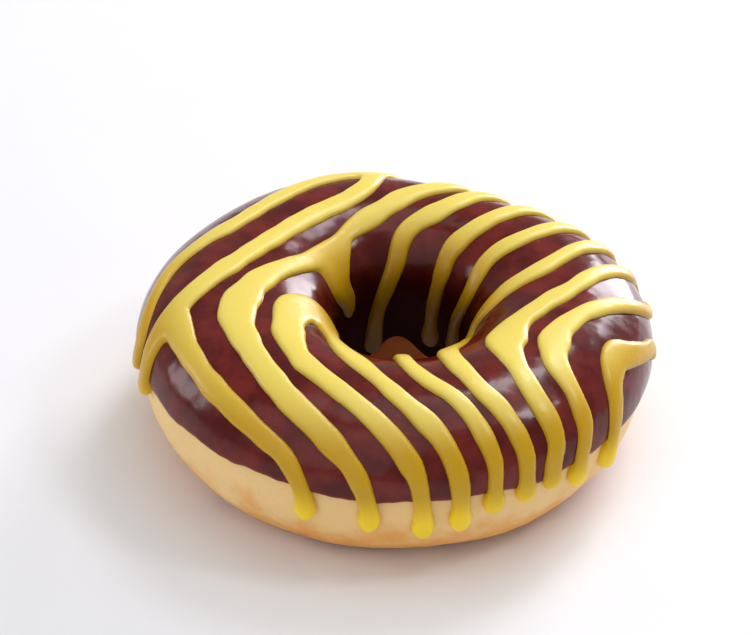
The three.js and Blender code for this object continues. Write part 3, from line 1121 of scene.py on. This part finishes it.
@dataclass
class PouredIcing:
    """The icing: lines that follow the coating, run together where they meet and end in drips.

    A line is poured as an oval bead of a height over the coating, partly sunk in it. Its top then
    runs level at a lower height, with a rounding, and bulges at the drips. On the walls it is
    narrower, by a power of how upright they are. A hanging line comes over the shoulder at one
    height, and where it has turned down, a share of its drop and a little of its turning are left.
    """

    coating_thickness: float = 1.1
    wall_width_share: float = 0.75
    wall_power: int = 6
    height: float = 1.35
    level: float = 1.0
    rounding: float = 0.5
    drip_bulge: float = 0.45
    bulge_levels: tuple[float, float] = (13.0, 19.0)
    sunk: float = 0.3
    drip_length: float = 5.6
    drip_width: float = 4.2
    drip_steps: tuple[int, int] = (24, 16)
    step: float = 0.8
    steps_for_direction: int = 2
    sides: int = 20
    shoulder: float = 0.97
    shoulder_height: float = 21.5
    hang_share: float = 0.4
    left_to_turn: float = 0.12
    wobble: float = 0.16
    wobble_size: float = 4.2
    sway: float = 0.15
    sway_size: float = 6.0
    voxel: float = 0.46
    melt_rounds: int = 4
    last_melt_rounds: int = 2
    melting: float = 0.5
    deepest: float = -0.4
    thin_below: float = 0.1
    full_above: float = 0.2
    finish: FondantIcing = field(default_factory=FondantIcing)

    @property
    def lift(self) -> float:
        """Where a line is widest, out of the dough's skin."""
        return self.coating_thickness - self.sunk

    @property
    def half_thickness(self) -> float:
        """From where a line is widest to its top."""
        return self.height + self.sunk

    def hanging_marks(self, end: HangingEnd | None) -> list[Vector]:
        """The points that lead a line down a wall.

        Args:
            end: The line's end, if it hangs.

        Returns:
            Where it comes over the shoulder, where it has turned down, and where it stops.
        """
        if end is None:
            return []
        turned_down = HangingEnd(
            end.wall,
            end.angle + self.left_to_turn * (end.shoulder_angle - end.angle),
            end.height + self.hang_share * (self.shoulder_height - end.height),
            end.shoulder_angle,
        )
        shoulder = HangingEnd(end.wall, end.shoulder_angle, self.shoulder_height, end.shoulder_angle)
        return [FORM.wall_point(mark, self.lift) for mark in (shoulder, turned_down, end)]

    def stops(self, line: PouredLine) -> list[Stop]:
        """Follows a line over the coating.

        Args:
            line: The line.

        Returns:
            Its stops, a step apart.
        """
        marks = [
            *reversed(self.hanging_marks(line.start)),
            *(FORM.skin_over(place, self.shoulder, self.lift) for place in line.places),
            *self.hanging_marks(line.stop),
        ]
        turns = [FORM.turn_to(near) for near in smooth_path(marks, self.step)]
        skins = [FORM.skin_at(angle, turn, self.lift) for angle, turn in turns]
        stops = []
        for i, ((point, normal), (_, turn)) in enumerate(zip(skins, turns)):
            before = skins[max(i - self.steps_for_direction, 0)][0]
            after = skins[min(i + self.steps_for_direction, len(skins) - 1)][0]
            forward = (after - before).normalized()
            side = forward.cross(normal).normalized()
            on_wall = abs(math.cos(turn)) ** self.wall_power
            half = line.width / 2 * (1 - (1 - self.wall_width_share) * on_wall)
            half += sum(swell.at(point) for swell in SWELLS)
            narrowing = 1 + (line.taper - 1) * i / (len(skins) - 1)
            half *= narrowing * (1 + self.wobble * relief(point, self.wobble_size, shift=3.0))
            middle = point + self.sway * relief(point, self.sway_size, shift=8.0) * side
            stops.append(Stop(framed(side, side.cross(forward), forward, middle), half, narrowing))
        return stops

    def add_bead(self, icing: bmesh.types.BMesh, stops: list[Stop]) -> None:
        """Draws a line's section along its stops as a closed bead.

        Args:
            icing: The shape that gets it.
            stops: The line's stops.
        """
        sections = [stop.sized(stop.half_width, self.half_thickness, 1) for stop in stops]
        first = bmesh.ops.create_circle(
            icing, cap_ends=True, segments=self.sides, radius=1, matrix=sections[0]
        )
        edges = list({edge for vert in first["verts"] for edge in vert.link_edges})
        for here, there in zip(sections, sections[1:]):
            grown = bmesh.ops.extrude_edge_only(icing, edges=edges)["geom"]
            edges = [item for item in grown if isinstance(item, bmesh.types.BMEdge)]
            verts = [item for item in grown if isinstance(item, bmesh.types.BMVert)]
            bmesh.ops.transform(icing, matrix=there @ here.inverted(), verts=verts)
        bmesh.ops.contextual_create(icing, geom=edges)

    def add_drip(self, icing: bmesh.types.BMesh, stop: Stop) -> None:
        """Adds the round end of a line.

        Args:
            icing: The shape that gets it.
            stop: The line's first or last stop.
        """
        half = stop.narrowing / 2
        sizes = (self.drip_width * half, self.half_thickness, self.drip_length * half)
        round_steps, long_steps = self.drip_steps
        bmesh.ops.create_uvsphere(
            icing, u_segments=round_steps, v_segments=long_steps, radius=1, matrix=stop.sized(*sizes)
        )

    def fullness(self, point: Vector) -> float:
        """How thick the icing is at a corner, from 0 at its foot to 1 at its top."""
        foot = self.coating_thickness
        top = foot + self.level
        return smooth_step(FORM.lift_of(point), foot - self.thin_below, top - self.full_above)

    def settled(self, point: Vector) -> Vector:
        """Lets the icing's tops run level.

        Args:
            point: Where a corner of the poured icing lies.

        Returns:
            Where it ends up.
        """
        angle, turn = FORM.turn_to(point)
        skin, outward = FORM.skin_at(angle, turn, 0.0)
        lift = (point - skin).dot(outward)
        bulge = self.drip_bulge * (1 - smooth_step(point.z, *self.bulge_levels))
        highest = self.coating_thickness + self.level + bulge
        knee = highest - self.rounding
        if lift > knee:
            level = knee + self.rounding * (1 - math.exp((knee - lift) / self.rounding))
            return point + (level - lift) * outward
        if lift < self.deepest:
            return FORM.skin_at(angle, turn, self.deepest)[0]
        return point

    def melt(self, icing: bmesh.types.BMesh, rounds: int) -> None:
        """Softens the icing's creases.

        Args:
            icing: The icing.
            rounds: How often it is softened.
        """
        axes = {"use_axis_x": True, "use_axis_y": True, "use_axis_z": True}
        for _ in range(rounds):
            bmesh.ops.smooth_vert(icing, verts=icing.verts, factor=self.melting, **axes)

    def build(self) -> bpy.types.Object:
        """Makes the icing as a finished piece.

        Returns:
            The piece.
        """
        icing = bmesh.new()
        for line in POURED_LINES:
            stops = self.stops(line)
            self.add_bead(icing, stops)
            self.add_drip(icing, stops[-1])
            if line.start is not None:
                self.add_drip(icing, stops[0])
        bmesh.ops.recalc_face_normals(icing, faces=icing.faces)
        icing = run_together(icing, self.voxel)
        self.melt(icing, self.melt_rounds)
        for vert in icing.verts:
            vert.co = self.settled(vert.co)
        self.melt(icing, self.last_melt_rounds)
        store(icing, "fullness", self.fullness)
        # the in_hole share drives the icing's painted shade inside the hole
        store(icing, "in_hole", FORM.hole_shade_share)
        piece = finished(icing, "icing_drizzle", self.finish.material())
        return fitted(piece, "coating")


@dataclass(frozen=True)
class SoftBox:
    """A square soft light that shines at the doughnut.

    Its azimuth is 0 in front, 90 to the right and 180 behind, its distance and size are in
    metres, and its power is in watts.
    """

    name: str
    azimuth: float
    elevation: float
    distance: float
    size: float
    power: float
    colour: tuple[float, float, float] = (1.0, 1.0, 1.0)

    def build(self) -> None:
        """Sets up the light."""
        azimuth, elevation = math.radians(self.azimuth), math.radians(self.elevation)
        level = math.cos(elevation)
        towards = Vector((math.sin(azimuth) * level, -math.cos(azimuth) * level, math.sin(elevation)))
        data = bpy.data.lights.new(self.name, "AREA")
        data.shape = "SQUARE"
        data.size = self.size
        data.energy = self.power
        data.color = self.colour
        light = bpy.data.objects.new(self.name, data)
        light.location = towards * self.distance
        light.rotation_euler = towards.to_track_quat("Z", "Y").to_euler()
        bpy.context.scene.collection.objects.link(light)


@dataclass
class Studio:
    """The pale floor, the soft lights and the camera, in metres.

    The camera is fitted to the photograph: the pixels per metre are those at the doughnut, and
    the middle pixel is where the camera's aim lies in the image.
    """

    floor_size: float = 4.0
    sky: tuple[float, float, float, float] = (0.97, 0.98, 1.0, 1.0)
    sky_strength: float = 0.37
    lights: tuple[SoftBox, ...] = (
        SoftBox("overhead", 128.0, 75.0, 0.9, 0.8, 2.3),
        SoftBox("window_behind", 150.0, 21.0, 0.9, 0.33, 4.2, WINDOW_LIGHT),
        SoftBox("window_low", 146.0, 4.0, 0.9, 0.22, 2.2, WINDOW_LIGHT),
        SoftBox("window_high", 152.0, 53.0, 0.9, 0.22, 1.5, WINDOW_LIGHT),
        SoftBox("window_right", 88.0, 50.0, 0.9, 0.16, 1.1, WINDOW_LIGHT),
        SoftBox("reflector_left", -100.0, 16.0, 0.8, 0.25, 0.9, (1.0, 0.96, 0.98)),
        SoftBox("front_fill", -30.0, 42.0, 1.2, 1.5, 4.8),
    )
    elevation: float = 35.5
    roll: float = 3.0
    distance: float = 0.5
    aim_height: float = 0.016
    image_size: tuple[int, int] = (752, 635)
    middle_pixel: tuple[float, float] = (391.2, 350.0)
    pixels_per_metre: float = 5640.0
    sensor_width: float = 36.0
    nearest_seen: float = 0.01
    floor_finish: PaleFloor = field(default_factory=PaleFloor)

    def add_floor(self) -> None:
        """Lays the floor."""
        sheet = bmesh.new()
        bmesh.ops.create_grid(sheet, x_segments=2, y_segments=2, size=self.floor_size / 2)
        floor = shown(sheet, "floor")
        floor.data.materials.append(self.floor_finish.material())

    def add_sky(self) -> None:
        """Sets the even light from all round."""
        world = bpy.data.worlds.new("sky")
        world.use_nodes = True
        background = world.node_tree.nodes["Background"]
        background.inputs["Color"].default_value = self.sky
        background.inputs["Strength"].default_value = self.sky_strength
        bpy.context.scene.world = world

    def add_camera(self) -> None:
        """Sets the camera where the photograph was taken from."""
        tilt, roll = math.radians(self.elevation), math.radians(self.roll)
        ahead = Vector((0, math.cos(tilt), -math.sin(tilt)))
        level = Vector((1, 0, 0))
        above = level.cross(ahead)
        right = math.cos(roll) * level + math.sin(roll) * above
        up = math.cos(roll) * above - math.sin(roll) * level
        middle = Vector((FORM.centre[0] * MM, FORM.centre[1] * MM, self.aim_height))
        eye = middle - self.distance * ahead
        off_right = (self.image_size[0] / 2 - self.middle_pixel[0]) / self.pixels_per_metre
        off_up = (self.middle_pixel[1] - self.image_size[1] / 2) / self.pixels_per_metre
        backward = (eye - middle - off_right * right - off_up * up).normalized()
        across = up.cross(backward).normalized()
        data = bpy.data.cameras.new("camera")
        data.sensor_width = self.sensor_width
        data.lens = self.pixels_per_metre * self.distance / self.image_size[0] * self.sensor_width
        data.clip_start = self.nearest_seen
        camera = bpy.data.objects.new("camera", data)
        camera.matrix_world = framed(across, backward.cross(across), backward, eye)
        bpy.context.scene.collection.objects.link(camera)
        bpy.context.scene.camera = camera

    def build(self) -> None:
        """Sets up everything round the doughnut."""
        bpy.context.scene.view_settings.view_transform = "Standard"
        self.add_floor()
        self.add_sky()
        self.add_camera()
        for light in self.lights:
            light.build()


def main() -> None:
    """Builds the doughnut piece by piece."""
    logging.basicConfig(level=logging.INFO, format="%(message)s")
    Studio().build()
    for maker in (DoughRing(), ChocolateCoating(), PouredIcing()):
        piece = maker.build()
        LOG.info("%s has %d faces", piece.name, len(piece.data.polygons))


if __name__ == "__main__":
    main()
